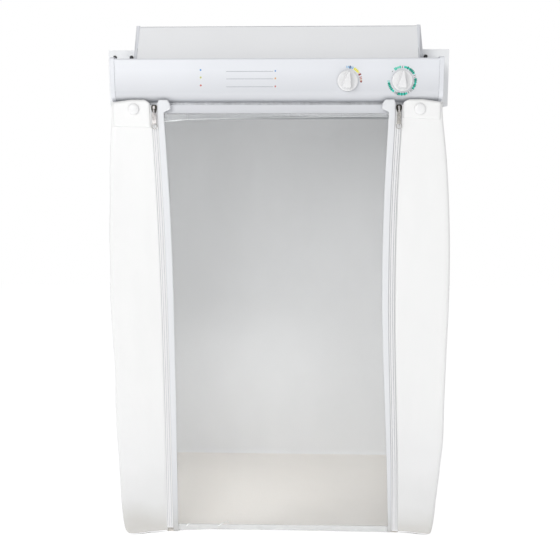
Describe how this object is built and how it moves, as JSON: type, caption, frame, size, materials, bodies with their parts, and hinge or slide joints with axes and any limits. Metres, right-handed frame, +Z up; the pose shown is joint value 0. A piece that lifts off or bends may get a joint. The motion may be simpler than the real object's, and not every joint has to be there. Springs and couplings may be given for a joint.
{
  "type": "wall-hung clothes dryer",
  "caption": "Wall-hung warm-air clothes dryer: a blower head with dials over a hanging sheet bag, closed by a clear window between two zips.",
  "frame": {"origin": "middle of the four wall holes, on the outer face of the chassis back", "axes": "+Z up, +Y back into the wall, +X to the right as the user faces the panel"},
  "size_m": [0.65, 0.4228, 0.9883],
  "materials": {
    "painted_steel": "white powder coat, satin",
    "plate_steel": "white powder coat, satin",
    "hood_paint": "light grey powder coat, satin",
    "panel_paint": "bluish white enamel, satin gloss",
    "bar_paint": "light grey paint, satin",
    "galvanised": "zinc coated sheet",
    "bright_steel": "bright steel",
    "core_steel": "laminated core, dull",
    "fan_aluminium": "bare aluminium",
    "bush_bronze": "sintered bronze",
    "copper_winding": "enamelled copper winding",
    "heater_sheath": "annealed steel sheath",
    "zip_metal": "dark antique metal, worn",
    "black_screw": "black, satin",
    "black_rubber": "matt",
    "black_moulding": "matt",
    "white_moulding": "glossy",
    "knob_moulding": "white, soft gloss",
    "cap_moulding": "light grey, satin gloss",
    "grey_moulding": "matt",
    "bag_sheet": "white flexible sheet, soft gloss",
    "bag_floor_sheet": "cream flexible sheet",
    "clear_film": "clear flexible film, glossy",
    "zip_white": "white woven tape with coil teeth"
  },
  "bodies": {
    "cabinet": {"bag_back": "bag_sheet", "bag_flap_left": "bag_sheet", "bag_flap_right": "bag_sheet", "bag_floor": "bag_floor_sheet", "bag_side_left": "bag_sheet", "bag_side_right": "bag_sheet", "blower_end_left": "galvanised", "blower_end_right": "galvanised", "blower_scroll": "galvanised", "blower_tongue": "galvanised", "chassis_shell": "painted_steel", "control_panel": "panel_paint", "cord_grommet": "black_rubber", "corner_brackets": "galvanised", "ear_screws": "black_screw", "end_bearing": "bush_bronze", "front_bar": "bar_paint", "front_plate": "plate_steel", "hanger_rod": "bright_steel", "head_base": "galvanised", "heater_element": "heater_sheath", "heater_frame": "galvanised", "hood_cap_left": "cap_moulding", "hood_cap_right": "cap_moulding", "hood_cover": "hood_paint", "intake_grille": "grey_moulding", "motor_bracket": "galvanised", "motor_coil": "copper_winding", "motor_stator": "core_steel", "outlet_grille": "galvanised", "panel_cap_left": "cap_moulding", "panel_cap_right": "cap_moulding", "programme_switch": "black_moulding", "rear_bar": "bar_paint", "rod_saddles": "grey_moulding", "side_bar_left": "bar_paint", "side_bar_right": "bar_paint", "snap_caps": "white_moulding", "terminal_block": "white_moulding", "thermostat": "black_moulding", "timer_unit": "black_moulding", "window_film": "clear_film", "window_hem": "bag_sheet", "window_strip_left": "bag_sheet", "window_strip_right": "bag_sheet", "zip_tapes_left": "zip_white", "zip_tapes_right": "zip_white"},
    "programme_dial": {"programme_knob": "knob_moulding", "programme_shaft": "bright_steel"},
    "timer_dial": {"timer_knob": "knob_moulding", "timer_shaft": "bright_steel"},
    "fan": {"impeller": "fan_aluminium", "motor_rotor": "core_steel"},
    "left_slider": {"zip_slider_left": "zip_metal"},
    "right_slider": {"zip_slider_right": "zip_metal"},
    "left_tab": {"pull_tab_left": "zip_metal"},
    "right_tab": {"pull_tab_right": "zip_metal"}
  },
  "joints": [
    {"name": "programme_turn", "type": "hinge", "parent": "cabinet", "child": "programme_dial", "pos_m": [0.1295, -0.4048, -0.0115], "axis": [0, 1, 0], "range_deg": [-8, 87]},
    {"name": "timer_turn", "type": "hinge", "parent": "cabinet", "child": "timer_dial", "pos_m": [0.2275, -0.4048, -0.0115], "axis": [0, 1, 0], "range_deg": [-49, 266]},
    {"name": "fan_spin", "type": "hinge", "parent": "cabinet", "child": "fan", "pos_m": [0, -0.35, -0.004], "axis": [1, 0, 0], "continuous": true},
    {"name": "left_zip_slide", "type": "slide", "parent": "cabinet", "child": "left_slider", "axis": [0.0133, 0, -0.9999], "range_m": [0, 0.8]},
    {"name": "left_tab_swing", "type": "hinge", "parent": "left_slider", "child": "left_tab", "pos_m": [-0.22285, -0.4075, -0.0645], "axis": [-0.9999, 0, -0.0133], "range_deg": [-2, 170]},
    {"name": "right_zip_slide", "type": "slide", "parent": "cabinet", "child": "right_slider", "axis": [0.0133, 0, -0.9999], "range_m": [0, 0.8]},
    {"name": "right_tab_swing", "type": "hinge", "parent": "right_slider", "child": "right_tab", "pos_m": [0.22315, -0.4075, -0.0645], "axis": [-0.9999, 0, -0.0133], "range_deg": [-2, 170]}
  ]
}
